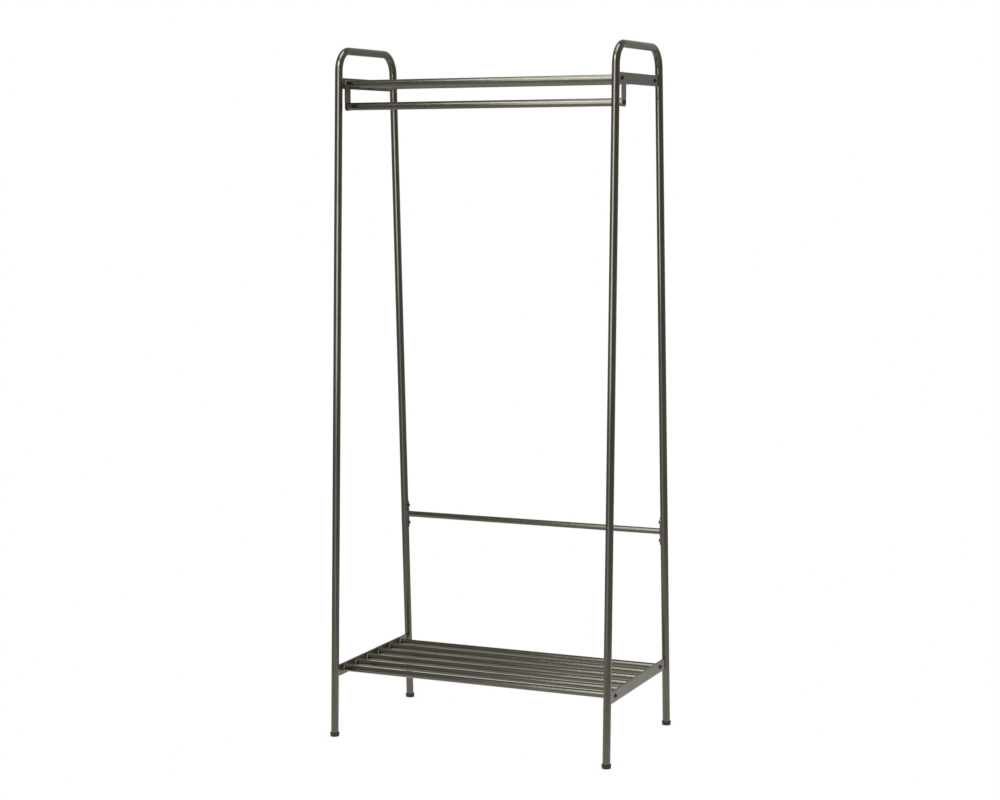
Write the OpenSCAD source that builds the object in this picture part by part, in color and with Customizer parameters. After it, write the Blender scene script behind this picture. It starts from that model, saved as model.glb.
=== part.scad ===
// Valet stand: two bent-tube side frames joined by two tube shelves, a hanging rail and a rear brace.
// Millimetres. +X is the stand's right, +Y its back, +Z up. The origin is on the floor at its centre.

/* [Stand] */
// Overall height, floor to the top of the side frames
stand_h = 1800; // [1500:10:2000]
// Overall width across the side frame tubes
stand_w = 785; // [500:1:1200]
// Spacing of the legs, centre to centre, at the floor
foot_spacing = 445; // [380:1:520]
// Spacing of the same two centre lines at full height
top_spacing = 304; // [270:1:340]

/* [Side frame] */
// Outer diameter of the side frame tube
leg_d = 20; // [19:0.5:25]
// Wall thickness of the side frame tube
leg_wall = 1.5; // [1:0.1:2.5]
// Radius of the top bends, to the tube's centre line
bend_r = 55; // [40:1:80]
// Height of the flat bars: rungs and shelf end plates
bar_w = 28; // [24:1:36]
// Thickness of the flat bars
bar_t = 3; // [2:0.5:4]

/* [Shelves] */
// Height of the lower shelf's tubes, to their centre lines
lower_shelf_z = 170; // [100:1:400]
// Height of the upper shelf's tubes, to their centre lines
upper_shelf_z = 1706; // [1400:1:1712]
// Outer diameter of the shelf tubes
shelf_tube_d = 17; // [14:0.5:19]
// Wall thickness of the shelf tubes
shelf_tube_wall = 1.2; // [1:0.1:2]
// Distance of the lower shelf's outer tubes from the legs' centre lines
lower_inset = 51; // [40:1:60]
// Distance of the upper shelf's outer tubes from the legs' centre lines
upper_inset = 38.5; // [32:0.5:45]
// Gap between a shelf end plate and the leg
plate_gap = 2; // [1:0.5:5]
// Corner radius of the shelf end plates
plate_corner_r = 5; // [2:1:8]

/* [Hanging rail] */
// Outer diameter of the hanging rail
rail_d = 20; // [16:0.5:21]
// Wall thickness of the hanging rail
rail_wall = 1.5; // [1:0.1:2.5]
// Distance of the rail below the upper shelf's tubes
rail_drop = 59; // [45:1:90]
// Distance of the rail from the front legs' centre lines
rail_inset = 53; // [45:1:70]
// Width of the arms that hold the rail
arm_w = 28; // [24:1:32]
// How far an arm reaches below the rail's centre line
arm_end = 11; // [11:0.5:16]
// Radius of an arm's lower corners
arm_corner_r = 9; // [4:0.5:10]

/* [Rear brace] */
// Height of the brace
brace_z = 526; // [300:1:900]
// Outer diameter of the brace tube
brace_d = 16; // [12:0.5:16]
// Wall thickness of the brace tube
brace_wall = 1.2; // [1:0.1:2]
// Length of the brace's end plates
brace_plate_l = 74; // [66:1:90]
// Width of the brace's end plates
brace_plate_w = 17; // [17:0.5:18.5]
// Thickness of the brace's end plates
brace_plate_t = 2; // [1.5:0.5:3]
// Distance between the two screws of an end plate
brace_screw_pitch = 49; // [44:1:54]

/* [Feet] */
// Height of a foot cap
foot_h = 10.5; // [8:0.5:20]
// Thickness of a foot cap's wall at its rim
foot_rim_wall = 2.5; // [2:0.5:5]
// Thickness of a foot cap's wall at the floor
foot_base_wall = 1.5; // [1:0.5:4]
// Thickness of a foot cap under the tube
foot_sole = 3; // [2:0.5:6]

/* [Fasteners] */
// Thread diameter of the shelf and rail bolts
bolt_d = 6; // [5:1:8]
// Head diameter of the shelf and rail bolts
bolt_head_d = 12; // [10:0.5:14]
// Head height of the shelf and rail bolts
bolt_head_h = 3.8; // [3:0.1:5]
// Hexagon socket of the bolts, across flats
socket_af = 4; // [3:0.5:5]
// Length of a threaded tube-end insert
insert_l = 25; // [15:1:40]
// Shank diameter of the brace screws
screw_d = 4.8; // [4:0.1:6]
// Head diameter of the brace screws
screw_head_d = 10; // [8:0.5:12]
// Head height of the brace screws
screw_head_h = 3.8; // [3:0.1:4.5]

/* [Hidden] */
$fn = 64;
SIDES = ["left", "right"];
UPPER_TUBES = 4;
LOWER_TUBES = 6;
// Flats round the bent tube, and along each of its bends
TUBE_SIDES = 32;
BEND_STEPS = 10;

// Clearance of a bolt or screw hole, on the diameter
hole_play = 0.4;
// Length of a bolt's shank under its head
bolt_l = 25;
// Length of a brace screw's shank under its head
screw_l = 12;
// Height of the straight rim under a domed head
head_rim_h = 0.7;
// Depth of a head's socket or cross slot
socket_depth = 2.2;
// Width and span of a brace screw's cross slot
cross_w = 1.2;
cross_span = 5.5;

frame_x = (stand_w - leg_d) / 2;
lean = atan((foot_spacing - top_spacing) / 2 / stand_h);
top_bar_z = stand_h - leg_d / 2;
rail_z = upper_shelf_z - rail_drop;
rail_y = -(leg_y(rail_z) - rail_inset);
plate_x = frame_x - bar_t;
// Radius of the outside of a brace end plate, round the leg's centre line
brace_shell_r = leg_d / 2 + brace_plate_t;
brace_y = leg_y(brace_z);
lower_half_y = leg_y(lower_shelf_z) - lower_inset;
upper_half_y = leg_y(upper_shelf_z) - upper_inset;
bend_y = leg_y(top_bar_z - bend_r) - bend_r / cos(lean);
bend_z = top_bar_z - bend_r;

FRAME_COLOUR = [0.30, 0.29, 0.27];
PLATE_COLOUR = [0.36, 0.35, 0.32];
FASTENER_COLOUR = [0.10, 0.10, 0.10];
FOOT_COLOUR = [0.06, 0.06, 0.06];

// Distance of a leg's centre line from the middle of the stand at height z
function leg_y(z) = foot_spacing / 2 - z * tan(lean);

// Place of tube i of a shelf with n tubes, the outer two at -half_y and half_y
function tube_y(i, n, half_y) = half_y * (2 * (i - 1) / (n - 1) - 1);

// Puts a part drawn for the right side on either side
module on_side(side) {
    if (side == "left") mirror([1, 0, 0]) children();
    else children();
}

// Draws on the right side's plane: 2-D x runs along +Y, 2-D y along +Z, height along +X
module side_plane(x) {
    translate([x, 0, 0]) rotate([90, 0, 90]) children();
}

// Puts children on both sides of x = 0
module both_ways() {
    children();
    mirror([1, 0, 0]) children();
}

// Round bar from point p to point q of the drawing plane
module round_bar(p, q, d) {
    run = q - p;
    translate([p[0], p[1], 0])
        rotate([0, 90, atan2(run[1], run[0])])
            cylinder(d = d, h = norm(run));
}

// Straight run of the rear leg, from its foot end to the bend
module leg_bar(d) {
    round_bar([leg_y(foot_sole), foot_sole],
              [bend_y + bend_r * cos(lean), bend_z + bend_r * sin(lean)], d);
}

// Stations of the bent tube's centre line from the rear foot to the middle of the top bar. Each is
// a place on the drawing plane and the direction of the outside of the bend, in degrees
function rear_stations() = concat(
    [[leg_y(foot_sole), foot_sole, lean]],
    [for (i = [0 : BEND_STEPS])
        let (a = lean + (90 - lean) * i / BEND_STEPS)
        [bend_y + bend_r * cos(a), bend_z + bend_r * sin(a), a]]);

// The same stations on the front leg, from the top bar down
function front_stations(rear) =
    [for (i = [len(rear) - 1 : -1 : 0]) [-rear[i][0], rear[i][1], 180 - rear[i][2]]];

// Ring of points of radius r around a station
function ring(station, r) =
    [for (k = [0 : TUBE_SIDES - 1])
        let (b = 360 * k / TUBE_SIDES)
        [station[0] + r * cos(b) * cos(station[2]),
         station[1] + r * cos(b) * sin(station[2]),
         r * sin(b)]];

// Four corners of a facet between ring row i and the ring row j, at point k
function facet(i, j, k) =
    let (n = TUBE_SIDES, next = (k + 1) % n)
    [i * n + k, j * n + k, j * n + next, i * n + next];

function reversed(v) = [for (i = [len(v) - 1 : -1 : 0]) v[i]];

// Hollow round tube along the whole path of a side frame
module bent_tube() {
    rear = rear_stations();
    stations = concat(rear, front_stations(rear));
    n = len(stations);
    points = [for (r = [leg_d / 2, leg_d / 2 - leg_wall], s = stations) each ring(s, r)];
    outside = [for (i = [0 : n - 2], k = [0 : TUBE_SIDES - 1]) reversed(facet(i, i + 1, k))];
    inside = [for (i = [n : 2 * n - 2], k = [0 : TUBE_SIDES - 1]) facet(i, i + 1, k)];
    rear_end = [for (k = [0 : TUBE_SIDES - 1]) facet(0, n, k)];
    front_end = [for (k = [0 : TUBE_SIDES - 1]) reversed(facet(n - 1, 2 * n - 1, k))];
    polyhedron(points, concat(outside, inside, rear_end, front_end));
}

// Flat outline of length l and width w with round corners
module round_corner_bar(l, w, r) {
    square([l - 2 * r, w], center = true);
    square([l, w - 2 * r], center = true);
    for (sx = [-1, 1], sy = [-1, 1])
        translate([sx * (l / 2 - r), sy * (w / 2 - r)])
            circle(r = r);
}

// Head standing on z = 0, straight up to rim_h and domed above it
module domed_head(d, h, rim_h) {
    dome_h = h - rim_h;
    dome_r = (d * d / 4 + dome_h * dome_h) / (2 * dome_h);
    intersection() {
        cylinder(d = d, h = h);
        translate([0, 0, h - dome_r]) sphere(r = dome_r);
    }
}

// Bolt with a hexagon socket, its head on z = 0
module bolt() {
    difference() {
        domed_head(bolt_head_d, bolt_head_h, head_rim_h);
        translate([0, 0, bolt_head_h - socket_depth])
            cylinder(d = socket_af / cos(30), h = socket_depth + 1, $fn = 6);
    }
    translate([0, 0, -bolt_l]) cylinder(d = bolt_d, h = bolt_l);
}

// Screw of a brace end plate, drawn from the leg's centre line with its head up. The underside of
// the head follows the plate's curve, and there is a cross slot in its top
module brace_screw() {
    head_top = brace_shell_r + screw_head_h;
    difference() {
        domed_head(screw_head_d, head_top, brace_shell_r + head_rim_h);
        rotate([90, 0, 0]) cylinder(r = brace_shell_r, h = 2 * screw_head_d, center = true);
        for (a = [0, 90])
            rotate([0, 0, a])
                translate([-cross_span / 2, -cross_w / 2, head_top - socket_depth])
                    cube([cross_span, cross_w, socket_depth + 1]);
    }
    translate([0, 0, brace_shell_r - screw_l]) cylinder(d = screw_d, h = screw_l + head_rim_h);
}

// Twelve-sided hole through the inner wall of a leg, as wide as a brace screw's shank
module pilot_hole() {
    translate([0, 0, -leg_d]) cylinder(d = screw_d / cos(15), h = leg_d, $fn = 12);
}

// Side frame tube: two leaning legs, two bends and a level top bar, with the brace screws' holes
module side_tube(side) {
    color(FRAME_COLOUR)
    on_side(side)
        side_plane(frame_x)
            difference() {
                bent_tube();
                brace_screw_places() pilot_hole();
            }
}

// Flat bar welded between the two legs of a side frame, with its two bolt holes
module rung(side, z, half_y) {
    color(PLATE_COLOUR)
    on_side(side)
        side_plane(frame_x)
            difference() {
                translate([-leg_y(z), z - bar_w / 2, 0]) cube([2 * leg_y(z), bar_w, bar_t]);
                both_ways() leg_bar(leg_d);
                bolt_holes(z, half_y);
            }
}

// Outline of a rail arm round its bolt hole: round corners below, square at the rung
module arm_outline() {
    rise = upper_shelf_z - bar_w / 2 - rail_z;
    corner_y = arm_corner_r - arm_end;
    translate([-arm_w / 2, corner_y]) square([arm_w, rise - corner_y]);
    translate([arm_corner_r - arm_w / 2, -arm_end]) square([arm_w - 2 * arm_corner_r, arm_end]);
    for (s = [-1, 1])
        translate([s * (arm_w / 2 - arm_corner_r), corner_y])
            circle(r = arm_corner_r);
}

// Arm that hangs from the upper rung and holds the rail
module rail_arm(side) {
    color(PLATE_COLOUR)
    on_side(side)
        side_plane(frame_x)
            translate([rail_y, rail_z, 0])
                difference() {
                    linear_extrude(bar_t) arm_outline();
                    translate([0, 0, -1]) cylinder(d = bolt_d + hole_play, h = bar_t + 2);
                }
}

// Pair of bolt holes through a flat bar at height z
module bolt_holes(z, half_y) {
    both_ways()
        translate([half_y, z, -1])
            cylinder(d = bolt_d + hole_play, h = bar_t + 2);
}

// End plate of a shelf: a flat bar just inside the rung
module shelf_plate(side, z, half_y) {
    half_l = leg_y(z + bar_w / 2) - leg_d / 2 / cos(lean) - plate_gap;
    color(PLATE_COLOUR)
    on_side(side)
        side_plane(plate_x)
            difference() {
                translate([0, z, 0])
                    linear_extrude(bar_t)
                        round_corner_bar(2 * half_l, bar_w, plate_corner_r);
                bolt_holes(z, half_y);
            }
}

// Tube from one end to the other, centred on the middle of the stand
module cross_tube(y, z, half_l, d, wall) {
    translate([-half_l, y, z])
        rotate([0, 90, 0])
            difference() {
                cylinder(d = d, h = 2 * half_l);
                translate([0, 0, -1]) cylinder(d = d - 2 * wall, h = 2 * half_l + 2);
            }
}

module shelf_tube(y, z) {
    color(FRAME_COLOUR) cross_tube(y, z, plate_x, shelf_tube_d, shelf_tube_wall);
}

// Threaded insert in the end of a tube that stops at x
module insert(x, y, z, d) {
    translate([x - insert_l, y, z])
        rotate([0, 90, 0])
            difference() {
                cylinder(d = d, h = insert_l);
                translate([0, 0, -1]) cylinder(d = bolt_d, h = insert_l + 2);
            }
}

module shelf_inserts(z, half_y) {
    color(FASTENER_COLOUR)
    both_ways()
        for (y = [-half_y, half_y])
            insert(plate_x, y, z, shelf_tube_d - 2 * shelf_tube_wall);
}

module shelf_bolts(z, half_y) {
    color(FASTENER_COLOUR)
    both_ways()
        for (y = [-half_y, half_y])
            side_plane(frame_x + bar_t) translate([y, z, 0]) bolt();
}

module hanging_rail() {
    color(FRAME_COLOUR) cross_tube(rail_y, rail_z, frame_x, rail_d, rail_wall);
}

module hanging_rail_inserts() {
    color(FASTENER_COLOUR)
    both_ways() insert(frame_x, rail_y, rail_z, rail_d - 2 * rail_wall);
}

module hanging_rail_bolts() {
    color(FASTENER_COLOUR)
    both_ways() side_plane(frame_x + bar_t) translate([rail_y, rail_z, 0]) bolt();
}

// Puts children on the rear leg's centre line at the brace, with y along the leg
module at_brace() {
    translate([brace_y, brace_z, 0]) rotate([0, 0, lean]) children();
}

// Puts children at both screws of a brace end plate
module brace_screw_places() {
    at_brace()
        for (s = [-1, 1])
            translate([0, s * brace_screw_pitch / 2, 0])
                children();
}

// Brace tube, its ends cut to sit on the curved end plates
module rear_brace_tube() {
    color(FRAME_COLOUR)
    difference() {
        cross_tube(brace_y, brace_z, frame_x, brace_d, brace_wall);
        both_ways() side_plane(frame_x) leg_bar(2 * brace_shell_r);
    }
}

// End plate of the brace: a strip with round ends, curved to hug the inside of the rear leg
module rear_brace_plate(side) {
    color(PLATE_COLOUR)
    on_side(side)
        side_plane(frame_x)
            difference() {
                intersection() {
                    leg_bar(2 * brace_shell_r);
                    at_brace()
                        mirror([0, 0, 1])
                            linear_extrude(leg_d)
                                rotate(90) round_end_bar(brace_plate_l, brace_plate_w);
                }
                leg_bar(leg_d);
                brace_screw_places()
                    mirror([0, 0, 1])
                        cylinder(d = screw_d + hole_play, h = leg_d);
            }
}

// Flat outline of length l and width w with half-round ends
module round_end_bar(l, w) {
    square([l - w, w], center = true);
    for (s = [-1, 1])
        translate([s * (l - w) / 2, 0])
            circle(d = w);
}

module rear_brace_screws() {
    color(FASTENER_COLOUR)
    both_ways()
        side_plane(frame_x)
            brace_screw_places()
                mirror([0, 0, 1]) brace_screw();
}

// Cap pushed over the end of a leg: a tapered cup, cut flat where it meets the floor
module foot(side, end) {
    rim_r = leg_d / 2 + foot_rim_wall;
    base_r = leg_d / 2 + foot_base_wall;
    below = 1;
    color(FOOT_COLOUR)
    on_side(side)
        mirror([0, end == "front" ? 1 : 0, 0])
            side_plane(frame_x)
                difference() {
                    translate([leg_y(0), 0, 0])
                        rotate([-90, 0, lean])
                            translate([0, 0, -below])
                                cylinder(r1 = base_r - below * (rim_r - base_r) / foot_h,
                                         r2 = rim_r, h = foot_h + below);
                    leg_bar(leg_d);
                    translate([0, -2 * rim_r, -2 * rim_r])
                        cube([foot_spacing, 2 * rim_r, 4 * rim_r]);
                }
}

for (side = SIDES) {
    side_tube(side);
    rung(side, upper_shelf_z, upper_half_y);
    rung(side, lower_shelf_z, lower_half_y);
    rail_arm(side);
    foot(side, "front");
    foot(side, "rear");
    shelf_plate(side, upper_shelf_z, upper_half_y);
    shelf_plate(side, lower_shelf_z, lower_half_y);
    rear_brace_plate(side);
}
for (i = [1 : UPPER_TUBES])
    shelf_tube(tube_y(i, UPPER_TUBES, upper_half_y), upper_shelf_z);
for (i = [1 : LOWER_TUBES])
    shelf_tube(tube_y(i, LOWER_TUBES, lower_half_y), lower_shelf_z);
shelf_inserts(upper_shelf_z, upper_half_y);  // upper_shelf_inserts
shelf_bolts(upper_shelf_z, upper_half_y);  // upper_shelf_bolts
shelf_inserts(lower_shelf_z, lower_half_y);  // lower_shelf_inserts
shelf_bolts(lower_shelf_z, lower_half_y);  // lower_shelf_bolts
hanging_rail();
hanging_rail_inserts();
hanging_rail_bolts();
rear_brace_tube();
rear_brace_screws();
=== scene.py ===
import math

import bmesh
import bpy
from mathutils import Matrix, Vector, noise


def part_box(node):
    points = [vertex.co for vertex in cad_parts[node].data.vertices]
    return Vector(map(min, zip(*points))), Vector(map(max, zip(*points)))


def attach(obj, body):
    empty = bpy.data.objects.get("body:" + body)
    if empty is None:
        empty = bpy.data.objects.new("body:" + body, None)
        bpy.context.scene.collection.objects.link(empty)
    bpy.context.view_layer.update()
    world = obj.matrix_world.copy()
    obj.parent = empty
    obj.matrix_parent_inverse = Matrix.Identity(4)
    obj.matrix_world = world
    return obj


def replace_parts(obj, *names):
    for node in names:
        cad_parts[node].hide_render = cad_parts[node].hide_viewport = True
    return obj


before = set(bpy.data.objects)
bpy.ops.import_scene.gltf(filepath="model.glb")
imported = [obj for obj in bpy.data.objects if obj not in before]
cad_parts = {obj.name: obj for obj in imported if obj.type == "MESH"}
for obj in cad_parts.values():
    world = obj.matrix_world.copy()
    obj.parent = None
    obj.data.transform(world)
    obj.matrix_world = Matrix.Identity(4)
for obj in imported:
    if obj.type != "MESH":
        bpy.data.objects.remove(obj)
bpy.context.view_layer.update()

# Valet stand. Metres; +X is the stand's right, +Y its back, +Z up. The stand has one body, "root".

# Which way along X a side lies, and along Y an end
SIDES = {"left": -1, "right": 1}
ENDS = {"front": -1, "rear": 1}
LEVELS = ("upper", "lower")
SHELF_TUBES = {"upper": 4, "lower": 6}
X_AXIS = Vector((1, 0, 0))

# Side frame tubes: wall, and radius of a bend's centre line
TUBE_WALL = 0.0015
BEND_R = 0.055
TUBE_SIDES = 64
BEND_STEPS = 28

# Foot caps: thickness of the sole and of the wall at the floor, gap round the leg, depth of the
# recess in the sole, the step's height as a share of the cap's, and the smallest ring's radius
CAP_SOLE = 0.003
CAP_BASE_WALL = 0.0015
CAP_GAP = 0.00005
CAP_RECESS = 0.0006
CAP_STEP = 0.45
CAP_HUB_R = 0.0002
CAP_SIDES = 64

# Rounded edges of the flat bars
BAR_EDGE = 0.0005
BAR_EDGE_STEPS = 3
BAR_EDGE_ANGLE = math.radians(50)

# A mesh is creased where its faces meet at more than this
CREASE = math.radians(35)
CAP_CREASE = math.radians(50)

# Weld beads: radius of each kind, and how far from the end of its edge a straight one stops
RUNG_BEAD = 0.0013
SHELF_BEAD = 0.0013
ARM_BEAD = 0.0012
BRACE_BEAD = 0.0018
RUNG_BEAD_INSET = 0.0015
ARM_BEAD_INSET = 0.001

# Surface of a bead: pitch and depth of its ripples, depth of its unevenness and that noise's
# scale in features per metre, and how blunt a straight bead's tips are
BEAD_SIDES = 12
BEAD_STEP = 0.0004
BEAD_PITCH = 0.0016
BEAD_RIPPLE = 0.16
BEAD_WANDER = 0.10
BEAD_WANDER_SCALE = 300
BEAD_TIP = 0.01

# Camera, close to where the photograph was taken from. Angles are in degrees, the lens in mm
CAMERA_AZIMUTH = 24.04
CAMERA_PITCH = 5.443
CAMERA_ROLL = -0.309
CAMERA_DISTANCE = 5.543
CAMERA_LENS = 76.46
CAMERA_SHIFT_Y = -0.040
CAMERA_TARGET_Z = 0.9867
CAMERA_CLIP = 60

# Floor
FLOOR_R = 7.0
FLOOR_SIDES = 96

# Colours that several materials and lights share
WHITE = (1, 1, 1, 1)
ROOM_LIGHT = (1, 0.98, 0.94, 1)
EDGE_METAL = (0.30, 0.285, 0.255, 1)


# ---------------------------------------------------------------- frame geometry

def middle(node):
    """Centre of a CAD node's box."""
    low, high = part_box(node)
    return (low + high) / 2


def tube_radius(node):
    """Radius of a tube that runs along X or mostly along Z."""
    low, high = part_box(node)
    return min(high - low) / 2


LEG_R = tube_radius("left_side_tube")
TOP_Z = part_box("left_side_tube")[1].z
FRAME_X = middle("right_side_tube").x


def leg_slope():
    """How far a leg leans in, per metre of height. The rungs' lower corners follow it."""
    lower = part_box("left_lower_rung")
    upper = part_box("left_upper_rung")
    return (lower[1].y - upper[1].y) / (upper[0].z - lower[0].z)


SLOPE = leg_slope()
LEAN = math.atan(SLOPE)


def leg_reach(off_centre):
    """How far a leg reaches along Y from its centre line, at a distance off it along X."""
    return math.sqrt(LEG_R ** 2 - off_centre ** 2) / math.cos(LEAN)


def leg_y(z):
    """Distance of a leg's centre line from the middle of the stand at height z.

    A rung's outer face lies on the centre line, so its inner face is one thickness off it. That
    face's lower corner touches the leg and is the furthest point of the rung's box.
    """
    low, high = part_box("left_lower_rung")
    return high.y + leg_reach(high.x - low.x) - (z - low.z) * SLOPE


# ---------------------------------------------------------------- mesh building

def in_side_plane(angle):
    """Unit vector square to X, turned by an angle from +Y towards +Z."""
    return Vector((0, math.cos(angle), math.sin(angle)))


def ring(centre, u, v, radius, sides):
    """Points of a circle round centre, in the plane of u and v."""
    turns = (2 * math.pi * i / sides for i in range(sides))
    return [centre + radius * (math.cos(a) * u + math.sin(a) * v) for a in turns]


def skin(rings, closed):
    """Corner points and quads over successive rings; a closed skin joins the last to the first."""
    sides = len(rings[0])
    count = len(rings)
    faces = []
    for i in range(count if closed else count - 1):
        for k in range(sides):
            a = i * sides + k
            b = i * sides + (k + 1) % sides
            shift = ((i + 1) % count - i) * sides
            faces.append((a, b, b + shift, a + shift))
    return [p for r in rings for p in r], faces


def capped_skin(rings):
    """A skin over the rings whose two ends are closed with a fan round a centre point."""
    points, faces = skin(rings, closed=False)
    sides = len(rings[0])
    last = len(points) - sides
    for start, end_ring in ((0, rings[0]), (last, rings[-1])):
        centre = sum(end_ring, Vector()) / sides
        points.append(centre)
        hub = len(points) - 1
        faces += [(start + k, start + (k + 1) % sides, hub) for k in range(sides)]
    return points, faces


def merged(parts):
    """Several (points, faces) pairs as one."""
    points, faces = [], []
    for some_points, some_faces in parts:
        offset = len(points)
        points += some_points
        faces += [tuple(i + offset for i in face) for face in some_faces]
    return points, faces


def piece(name, shape, material, crease=CREASE):
    """A mesh object from (points, faces) that rides on the stand."""
    mesh = bpy.data.meshes.new(name)
    mesh.from_pydata([tuple(p) for p in shape[0]], [], shape[1])
    solid = bmesh.new()
    solid.from_mesh(mesh)
    bmesh.ops.recalc_face_normals(solid, faces=solid.faces)
    solid.to_mesh(mesh)
    solid.free()
    mesh.shade_smooth()
    mesh.set_sharp_from_angle(angle=crease)
    mesh.materials.append(material)
    made = bpy.data.objects.new(name, mesh)
    bpy.context.scene.collection.objects.link(made)
    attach(made, "root")
    return made


# ---------------------------------------------------------------- materials

def shader_node(tree, kind, inputs=None, **settings):
    """A new node with its settings; an input is a value, or a socket to link from."""
    made = tree.nodes.new(kind)
    for key, value in settings.items():
        setattr(made, key, value)
    for key, value in (inputs or {}).items():
        if isinstance(value, bpy.types.NodeSocket):
            tree.links.new(value, made.inputs[key])
        else:
            made.inputs[key].default_value = value
    return made


def new_material(name, constants):
    """A Principled material with constant values on the shader's own sockets."""
    material = bpy.data.materials.new(name)
    material.use_nodes = True
    shader = material.node_tree.nodes["Principled BSDF"]
    for key, value in constants.items():
        shader.inputs[key].default_value = value
    return material, material.node_tree, shader


def object_noise(tree, scale, detail, roughness=0.5):
    """Noise from 0 to 1 fixed to the object, with scale in features per metre."""
    place = shader_node(tree, "ShaderNodeTexCoord").outputs["Object"]
    made = shader_node(tree, "ShaderNodeTexNoise", {
        "Vector": place, "Scale": scale, "Detail": detail, "Roughness": roughness})
    return made.outputs["Fac"]


def flakes(tree, scale):
    """A different random grey for each small cell, for metallic flake."""
    place = shader_node(tree, "ShaderNodeTexCoord").outputs["Object"]
    cells = shader_node(tree, "ShaderNodeTexVoronoi", {"Vector": place, "Scale": scale})
    grey = shader_node(tree, "ShaderNodeRGBToBW", {"Color": cells.outputs["Color"]})
    return grey.outputs["Val"]


def remap(tree, value, low, high, from_low=0.0, from_high=1.0):
    """A value moved from one range to another."""
    made = shader_node(tree, "ShaderNodeMapRange", {
        "Value": value, "From Min": from_low, "From Max": from_high,
        "To Min": low, "To Max": high})
    return made.outputs["Result"]


def math_node(tree, operation, a, b):
    """The result of an operation on two values or sockets."""
    return shader_node(tree, "ShaderNodeMath", {0: a, 1: b}, operation=operation).outputs["Value"]


def dot_node(tree, a, b):
    """The dot product of two vectors."""
    made = shader_node(tree, "ShaderNodeVectorMath", {0: a, 1: b}, operation="DOT_PRODUCT")
    return made.outputs["Value"]


def mix_colour(tree, factor, a, b):
    """Colour a where factor is 0 and b where it is 1: sockets 6, 7 and 2 are the colour ones."""
    made = shader_node(tree, "ShaderNodeMix", {"Factor": factor, 6: a, 7: b}, data_type="RGBA")
    return made.outputs[2]


def bump(tree, shader, *layers):
    """Bump layers of (height socket, depth in metres), one over the other."""
    normal = None
    for height, depth in layers:
        inputs = {"Height": height, "Distance": depth, "Strength": 1.0}
        if normal is not None:
            inputs["Normal"] = normal
        normal = shader_node(tree, "ShaderNodeBump", inputs).outputs["Normal"]
    tree.links.new(normal, shader.inputs["Normal"])


def edge_wear(tree, reach):
    """From 0 on a flat or gently curved face to 1 at a sharp edge, broken up by noise."""
    rounded = shader_node(tree, "ShaderNodeBevel", {"Radius": reach}, samples=6)
    true_normal = shader_node(tree, "ShaderNodeNewGeometry").outputs["Normal"]
    likeness = dot_node(tree, rounded.outputs["Normal"], true_normal)
    edge = remap(tree, likeness, 1.0, 0.0, from_low=0.82, from_high=0.985)
    patches = object_noise(tree, scale=260, detail=4)
    broken = remap(tree, patches, 0.0, 1.0, from_low=0.42, from_high=0.62)
    return math_node(tree, "MULTIPLY", edge, broken)


def coated_steel(name, dark, light, roughness, worn_edges):
    """Metallic lacquer on steel: fine flake, slight orange peel and soft cloudy unevenness."""
    material, tree, shader = new_material(name, {
        "Metallic": 1.0, "Coat Weight": 0.45, "Coat Roughness": 0.12, "Coat IOR": 1.5})
    clouds = object_noise(tree, scale=9, detail=3, roughness=0.6)
    cloudy = remap(tree, clouds, 0.0, 1.0, from_low=0.3, from_high=0.7)
    colour = mix_colour(tree, cloudy, dark, light)
    glitter = remap(tree, flakes(tree, scale=2600), 0.93, 1.08)
    colour = shader_node(tree, "ShaderNodeVectorMath",
                         {0: colour, "Scale": glitter}, operation="SCALE").outputs["Vector"]
    smears = object_noise(tree, scale=38, detail=4)
    rough = remap(tree, smears, roughness - 0.04, roughness + 0.05)
    if worn_edges:
        wear = math_node(tree, "MULTIPLY", edge_wear(tree, reach=0.0012), 0.2)
        colour = mix_colour(tree, wear, colour, EDGE_METAL)
    tree.links.new(colour, shader.inputs["Base Color"])
    tree.links.new(rough, shader.inputs["Roughness"])
    peel = object_noise(tree, scale=520, detail=2)
    grain = object_noise(tree, scale=3200, detail=1)
    bump(tree, shader, (peel, 0.000003), (grain, 0.0000005))
    return material


def black_steel(name):
    """Black-finished fastener steel, a little brighter where a key has rubbed it."""
    material, tree, shader = new_material(name, {
        "Metallic": 1.0, "Coat Weight": 0.3, "Coat Roughness": 0.25})
    mottle = object_noise(tree, scale=420, detail=4, roughness=0.6)
    patchy = remap(tree, mottle, 0.0, 1.0, from_low=0.3, from_high=0.75)
    colour = mix_colour(tree, patchy, (0.028, 0.028, 0.029, 1), (0.075, 0.073, 0.070, 1))
    wear = math_node(tree, "MULTIPLY", edge_wear(tree, reach=0.0006), 0.6)
    colour = mix_colour(tree, wear, colour, EDGE_METAL)
    tree.links.new(colour, shader.inputs["Base Color"])
    tree.links.new(remap(tree, mottle, 0.18, 0.34), shader.inputs["Roughness"])
    bump(tree, shader, (object_noise(tree, scale=2400, detail=3), 0.00002))
    return material


def bright_zinc(name):
    """Zinc-plated steel of the threaded inserts."""
    material, tree, shader = new_material(name, {"Metallic": 1.0})
    spangle = object_noise(tree, scale=900, detail=3)
    colour = mix_colour(tree, spangle, (0.42, 0.43, 0.45, 1), (0.62, 0.62, 0.60, 1))
    tree.links.new(colour, shader.inputs["Base Color"])
    tree.links.new(remap(tree, spangle, 0.28, 0.42), shader.inputs["Roughness"])
    bump(tree, shader, (object_noise(tree, scale=1800, detail=2), 0.00002))
    return material


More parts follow.
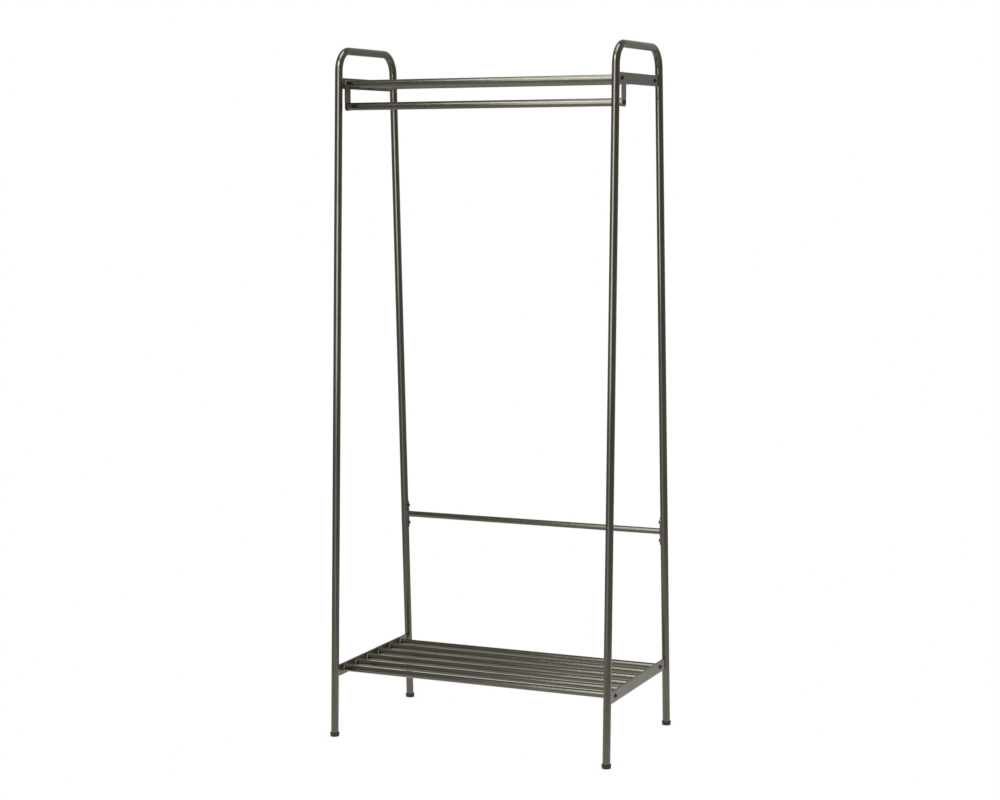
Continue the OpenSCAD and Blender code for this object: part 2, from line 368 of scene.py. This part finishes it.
def moulded_plastic(name):
    """Black moulded plastic of the foot caps, scuffed and dusty towards the floor."""
    material, tree, shader = new_material(name, {"Specular IOR Level": 0.4})
    place = shader_node(tree, "ShaderNodeTexCoord").outputs["Object"]
    height = shader_node(tree, "ShaderNodeSeparateXYZ", {"Vector": place}).outputs["Z"]
    low_down = remap(tree, height, 1.0, 0.0, from_low=0.0, from_high=0.005)
    scratches = object_noise(tree, scale=420, detail=5, roughness=0.65)
    scuffs = remap(tree, scratches, 0.0, 1.0, from_low=0.45, from_high=0.72)
    dust = math_node(tree, "MULTIPLY", low_down, scuffs)
    clouds = object_noise(tree, scale=300, detail=2)
    colour = mix_colour(tree, clouds, (0.0115, 0.0115, 0.012, 1), (0.019, 0.019, 0.019, 1))
    dusty = math_node(tree, "MULTIPLY", dust, 0.5)
    colour = mix_colour(tree, dusty, colour, (0.11, 0.105, 0.095, 1))
    tree.links.new(colour, shader.inputs["Base Color"])
    tree.links.new(remap(tree, dust, 0.42, 0.75), shader.inputs["Roughness"])
    bump(tree, shader, (object_noise(tree, scale=2600, detail=2), 0.00004))
    return material


MATERIALS = {
    "frame_tube": coated_steel(
        "gunmetal_tube", (0.100, 0.093, 0.072, 1), (0.120, 0.112, 0.088, 1),
        roughness=0.20, worn_edges=False),
    "flat_bar": coated_steel(
        "gunmetal_bar", (0.096, 0.088, 0.070, 1), (0.116, 0.107, 0.085, 1),
        roughness=0.36, worn_edges=True),
    # Shelf weld beads: about three times lighter than the tubes, a painted glint standing in for
    # their highlights
    "weld": coated_steel(
        "gunmetal_weld_painted_glint", (0.26, 0.245, 0.21, 1), (0.36, 0.34, 0.29, 1),
        roughness=0.24, worn_edges=False),
    "fastener": black_steel("black_steel"),
    "insert": bright_zinc("bright_zinc"),
    "foot_cap": moulded_plastic("black_plastic"),
}


# ---------------------------------------------------------------- CAD nodes that stay

def round_edges(solid):
    """A fine rounding on the sharp edges of a flat bar."""
    rounding = solid.modifiers.new("rounding", "BEVEL")
    rounding.width = BAR_EDGE
    rounding.segments = BAR_EDGE_STEPS
    rounding.limit_method = "ANGLE"
    rounding.angle_limit = BAR_EDGE_ANGLE
    rounding.harden_normals = True


def finish_node(node, slot):
    """Gives a CAD node its material and, where it is a flat bar, finely rounded edges."""
    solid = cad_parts[node]
    if not solid.material_slots:
        solid.data.materials.append(None)
    for place in solid.material_slots:
        place.material = MATERIALS[slot]
    if slot == "flat_bar":
        round_edges(solid)


def finish_cad_nodes():
    """Every CAD node but the side tubes and the feet, which new pieces replace."""
    for level in LEVELS:
        for number in range(1, SHELF_TUBES[level] + 1):
            finish_node(f"{level}_shelf_tube_{number}", "frame_tube")
        for side in SIDES:
            finish_node(f"{side}_{level}_rung", "flat_bar")
            finish_node(f"{level}_shelf_{side}_plate", "flat_bar")
        finish_node(f"{level}_shelf_inserts", "insert")
        finish_node(f"{level}_shelf_bolts", "fastener")
    for side in SIDES:
        finish_node(f"{side}_rail_arm", "flat_bar")
        finish_node(f"rear_brace_{side}_plate", "flat_bar")
    for tube in ("hanging_rail", "rear_brace_tube"):
        finish_node(tube, "frame_tube")
    finish_node("hanging_rail_inserts", "insert")
    finish_node("hanging_rail_bolts", "fastener")
    finish_node("rear_brace_screws", "fastener")


# ---------------------------------------------------------------- side frame tubes

def side_path():
    """Places (y, z) along a side frame's centre line, each with the angle that faces outwards."""
    bend_z = TOP_Z - LEG_R - BEND_R
    bend_y = leg_y(bend_z) - BEND_R / math.cos(LEAN)
    foot_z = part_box("left_side_tube")[0].z + LEG_R * math.sin(LEAN)
    rear = [(leg_y(foot_z), foot_z, LEAN)]
    for i in range(BEND_STEPS + 1):
        a = LEAN + (math.pi / 2 - LEAN) * i / BEND_STEPS
        rear.append((bend_y + BEND_R * math.cos(a), bend_z + BEND_R * math.sin(a), a))
    front = [(-y, z, math.pi - a) for y, z, a in reversed(rear)]
    return rear + front


def side_tube(side, sign):
    """Hollow bent tube of one side frame: outside, inside and two open ends."""
    rings = []
    for radius, path in ((LEG_R, side_path()), (LEG_R - TUBE_WALL, side_path()[::-1])):
        for y, z, a in path:
            centre = Vector((sign * FRAME_X, y, z))
            rings.append(ring(centre, in_side_plane(a), X_AXIS, radius, TUBE_SIDES))
    shape = skin(rings, closed=True)
    made = piece(f"{side}_frame_tube", shape, MATERIALS["frame_tube"])
    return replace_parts(made, f"{side}_side_tube")


# ---------------------------------------------------------------- foot caps

def cap_profile(rim_r, base_r, height):
    """Outline of a foot cap as (radius, height), from under its middle round to the inside."""
    inner_r = LEG_R + CAP_GAP
    step_z = CAP_STEP * height
    sole = [(0.0, CAP_RECESS), (0.35 * base_r, CAP_RECESS),
            (base_r - 0.0034, CAP_RECESS), (base_r - 0.0028, 0.0)]
    wall = [(base_r - 0.0009, 0.0), (base_r - 0.0004, 0.00015), (base_r, 0.0007)]
    step = [(base_r + 0.0003, step_z - 0.0003), (base_r + 0.0001, step_z),
            (base_r + 0.0001, step_z + 0.0005), (base_r + 0.0006, step_z + 0.0009)]
    rim = [(rim_r - 0.0001, height - 0.0012), (rim_r - 0.0001, height - 0.0006),
           (rim_r - 0.0004, height - 0.0002), (rim_r - 0.0009, height)]
    mouth = [(inner_r + 0.0004, height), (inner_r, height - 0.0004)]
    inside = [(inner_r, CAP_SOLE + 0.0003), (inner_r - 0.0003, CAP_SOLE), (0.0, CAP_SOLE)]
    return sole + wall + step + rim + mouth + inside


def foot_cap(side, sign, end, way):
    """Cup pushed over a leg's end. Its sole is level and its rim is square to the leaning leg."""
    node = f"{end}_{side}_foot"
    low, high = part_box(node)
    base_r = LEG_R + CAP_BASE_WALL
    rim_r = (high.x - low.x) / 2
    height = high.z - rim_r * math.sin(LEAN)
    rings = []
    for radius, z in cap_profile(rim_r, base_r, height):
        tilt = way * LEAN * min(max(z / height, 0.0), 1.0)
        centre = Vector((sign * FRAME_X, way * leg_y(z), z))
        wide = max(radius, CAP_HUB_R)
        rings.append(ring(centre, X_AXIS, in_side_plane(tilt), wide, CAP_SIDES))
    shape = capped_skin(rings)
    made = piece(f"{node}_cap", shape, MATERIALS["foot_cap"], CAP_CREASE)
    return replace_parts(made, node)


# ---------------------------------------------------------------- weld beads

def bead_radius(size, along, seed):
    """Radius of a bead at a distance along it: overlapping ripples, slightly uneven by its seed."""
    ripple = abs(math.sin(math.pi * along / BEAD_PITCH))
    wander = noise.noise(Vector((along * BEAD_WANDER_SCALE, seed, 0.5)))
    return size * (1 - BEAD_RIPPLE * (1 - ripple) + BEAD_WANDER * wander)


def straight_bead(start, end, size, seed):
    """Bead from one point to another, thinning to a small tip at both ends."""
    run = end - start
    length = run.length
    along = run.normalized()
    u = along.orthogonal().normalized()
    v = along.cross(u)
    rings = []
    count = int(length / BEAD_STEP)
    for i in range(count + 1):
        s = length * i / count
        to_end = min(s, length - s)
        taper = math.sqrt(max(1 - (1 - min(to_end / size, 1)) ** 2, BEAD_TIP))
        radius = bead_radius(size, s, seed) * taper
        rings.append(ring(start + along * s, u, v, radius, BEAD_SIDES))
    return capped_skin(rings)


def ring_bead(centre, tube_r, size, seed, seat_x=None):
    """Bead round the end of a tube that runs along X; seat_x gives the place of a curved seat."""
    count = int(2 * math.pi * tube_r / BEAD_STEP)
    ripples = round(2 * math.pi * tube_r / BEAD_PITCH)
    rings = []
    for i in range(count):
        outwards = in_side_plane(2 * math.pi * i / count)
        radius = bead_radius(size, ripples * BEAD_PITCH * i / count, seed)
        spot = centre + outwards * tube_r
        if seat_x:
            spot.x = seat_x(spot)
        rings.append(ring(spot, outwards, X_AXIS, radius, BEAD_SIDES))
    return skin(rings, closed=True)


def rung_welds(side, sign, level):
    """Beads down both faces of a rung where its two ends meet the legs."""
    low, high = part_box(f"{side}_{level}_rung")
    beads = []
    for face_x in (low.x, high.x):
        reach = leg_reach(face_x - sign * FRAME_X)
        for way in ENDS.values():
            ends = [Vector((face_x, way * (leg_y(z) - reach), z))
                    for z in (low.z + RUNG_BEAD_INSET, high.z - RUNG_BEAD_INSET)]
            beads.append(straight_bead(ends[0], ends[1], RUNG_BEAD, len(beads) + 7 * sign))
    name = f"{side}_{level}_rung_welds"
    return piece(name, merged(beads), MATERIALS["frame_tube"])


def shelf_welds(side, sign, level):
    """Beads round the ends of a shelf's tubes, on the inner face of an end plate, in a lighter
    colour that paints a glint on them.
    """
    low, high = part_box(f"{level}_shelf_{side}_plate")
    inner_x = min(low.x, high.x, key=abs)
    beads = []
    for number in range(1, SHELF_TUBES[level] + 1):
        tube = f"{level}_shelf_tube_{number}"
        centre = middle(tube)
        centre.x = inner_x
        beads.append(ring_bead(centre, tube_radius(tube), SHELF_BEAD, number + 11 * sign))
    name = f"{level}_shelf_{side}_welds"
    return piece(name, merged(beads), MATERIALS["weld"])


def rail_arm_welds(side, sign):
    """Beads across both faces of a rail arm, under the rung that it hangs from."""
    low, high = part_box(f"{side}_rail_arm")
    beads = []
    for face_x in (low.x, high.x):
        start = Vector((face_x, low.y + ARM_BEAD_INSET, high.z))
        end = Vector((face_x, high.y - ARM_BEAD_INSET, high.z))
        beads.append(straight_bead(start, end, ARM_BEAD, len(beads) + 5 * sign))
    name = f"{side}_rail_arm_welds"
    return piece(name, merged(beads), MATERIALS["frame_tube"])


def brace_weld(side, sign):
    """Bead round the end of the brace tube, on its curved end plate."""
    low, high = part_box(f"rear_brace_{side}_plate")
    shell_r = abs(FRAME_X) - min(abs(low.x), abs(high.x))

    def plate_x(spot):
        across = (spot.y - leg_y(spot.z)) * math.cos(LEAN)
        return sign * (FRAME_X - math.sqrt(shell_r ** 2 - across ** 2))

    tube = "rear_brace_tube"
    bead = ring_bead(middle(tube), tube_radius(tube), BRACE_BEAD, 3 * sign, plate_x)
    return piece(f"rear_brace_{side}_weld", bead, MATERIALS["frame_tube"])


def build_pieces():
    """The pieces that Blender adds, or puts in place of CAD nodes."""
    for side, sign in SIDES.items():
        side_tube(side, sign)
        for end, way in ENDS.items():
            foot_cap(side, sign, end, way)
        for level in LEVELS:
            rung_welds(side, sign, level)
            shelf_welds(side, sign, level)
        rail_arm_welds(side, sign)
        brace_weld(side, sign)


# ---------------------------------------------------------------- studio

def make_camera():
    """Camera at its distance and angles from a point on the stand's middle line."""
    azimuth, pitch = math.radians(CAMERA_AZIMUTH), math.radians(CAMERA_PITCH)
    back = Vector((math.sin(azimuth) * math.cos(pitch),
                   -math.cos(azimuth) * math.cos(pitch), math.sin(pitch)))
    right = Vector((math.cos(azimuth), math.sin(azimuth), 0))
    up = back.cross(right)
    roll = Matrix.Rotation(math.radians(CAMERA_ROLL), 3, "Z")
    turn = Matrix((right, up, back)).transposed() @ roll
    lens = bpy.data.cameras.new("camera")
    lens.lens = CAMERA_LENS
    lens.shift_y = CAMERA_SHIFT_Y
    lens.clip_end = CAMERA_CLIP
    camera = bpy.data.objects.new("camera", lens)
    bpy.context.scene.collection.objects.link(camera)
    place = Vector((0, 0, CAMERA_TARGET_Z)) + back * CAMERA_DISTANCE
    camera.matrix_world = Matrix.Translation(place) @ turn.to_4x4()
    bpy.context.scene.camera = camera


def softbox(name, width, height, place, aim, radiance):
    """White rectangular light at place that faces aim. The camera doesn't see it."""
    light = bpy.data.lights.new(name, "AREA")
    light.shape = "RECTANGLE"
    light.size, light.size_y = width, height
    light.energy = radiance * math.pi * width * height
    made = bpy.data.objects.new(name, light)
    made.visible_camera = False
    made.location = place
    made.rotation_euler = (Vector(aim) - Vector(place)).to_track_quat("-Z", "Y").to_euler()
    bpy.context.scene.collection.objects.link(made)


def make_lights():
    """Two lights in front, one over the other, and two high up for the bars and the shelves."""
    softbox("key", 1.1, 1.7, (-0.05, -1.60, 1.72), (-0.05, 0, 1.72), 3.6)
    softbox("low_fill", 1.1, 0.8, (-0.05, -1.60, 0.45), (-0.05, 0, 0.45), 0.8)
    softbox("high_key", 1.4, 0.8, (-0.35, -1.60, 3.0), (-0.35, 0, 1.9), 7.0)
    softbox("overhead", 2.2, 2.0, (0.0, -0.4, 4.2), (0.1, 0, 1.0), 3.5)


def seen_by_camera(tree):
    """1 where the camera looks straight at a thing, 0 where it only lights or is mirrored."""
    return shader_node(tree, "ShaderNodeLightPath").outputs["Is Camera Ray"]


def make_world():
    """White to the camera; for lighting, a dim room, a little brighter to the left and behind."""
    world = bpy.data.worlds.new("studio")
    bpy.context.scene.world = world
    world.use_nodes = True
    tree = world.node_tree
    tree.nodes.clear()
    heading = shader_node(tree, "ShaderNodeTexCoord").outputs["Generated"]
    leftwards = dot_node(tree, heading, (-0.97, -0.24, 0.0))
    backwards = dot_node(tree, heading, (0.35, 0.94, 0.0))
    left_part = remap(tree, leftwards, 0.33, 0.40, from_low=0.1, from_high=0.9)
    back_part = remap(tree, backwards, 0.0, 0.14, from_low=0.3, from_high=0.9)
    room = math_node(tree, "ADD", left_part, back_part)
    lighting = shader_node(tree, "ShaderNodeBackground", {"Color": ROOM_LIGHT, "Strength": room})
    backdrop = shader_node(tree, "ShaderNodeBackground", {"Color": WHITE, "Strength": 1.0})
    mixed = shader_node(tree, "ShaderNodeMixShader", {
        0: seen_by_camera(tree), 1: lighting.outputs[0], 2: backdrop.outputs[0]})
    shader_node(tree, "ShaderNodeOutputWorld", {"Surface": mixed.outputs[0]})


def floor_material():
    """White to the camera, with a faint shade where something stands; a dim floor in reflections."""
    material = bpy.data.materials.new("floor_white")
    material.use_nodes = True
    tree = material.node_tree
    tree.nodes.clear()
    closeness = shader_node(tree, "ShaderNodeAmbientOcclusion", {"Distance": 0.05}, samples=16)
    shade = remap(tree, closeness.outputs["AO"], 0.78, 1.0, from_low=0.2, from_high=0.9)
    plain = shader_node(tree, "ShaderNodeEmission", {"Color": WHITE, "Strength": shade})
    place = shader_node(tree, "ShaderNodeTexCoord").outputs["Object"]
    away = shader_node(tree, "ShaderNodeVectorMath", {0: place}, operation="LENGTH").outputs["Value"]
    glow = remap(tree, away, 0.96, 0.42, from_low=0.6, from_high=2.4)
    mirrored = shader_node(tree, "ShaderNodeEmission", {"Color": ROOM_LIGHT, "Strength": glow})
    mixed = shader_node(tree, "ShaderNodeMixShader", {
        0: seen_by_camera(tree), 1: mirrored.outputs[0], 2: plain.outputs[0]})
    shader_node(tree, "ShaderNodeOutputMaterial", {"Surface": mixed.outputs[0]})
    return material


def make_floor():
    """Plain round floor under the stand."""
    mesh = bpy.data.meshes.new("floor")
    disc = bmesh.new()
    bmesh.ops.create_circle(disc, cap_ends=True, segments=FLOOR_SIDES, radius=FLOOR_R)
    disc.to_mesh(mesh)
    disc.free()
    mesh.materials.append(floor_material())
    floor = bpy.data.objects.new("floor", mesh)
    bpy.context.scene.collection.objects.link(floor)


def make_studio():
    """Camera, lights, world and floor. The Standard view shows white as plain white."""
    bpy.context.scene.view_settings.view_transform = "Standard"
    make_camera()
    make_lights()
    make_world()
    make_floor()


finish_cad_nodes()
build_pieces()
make_studio()
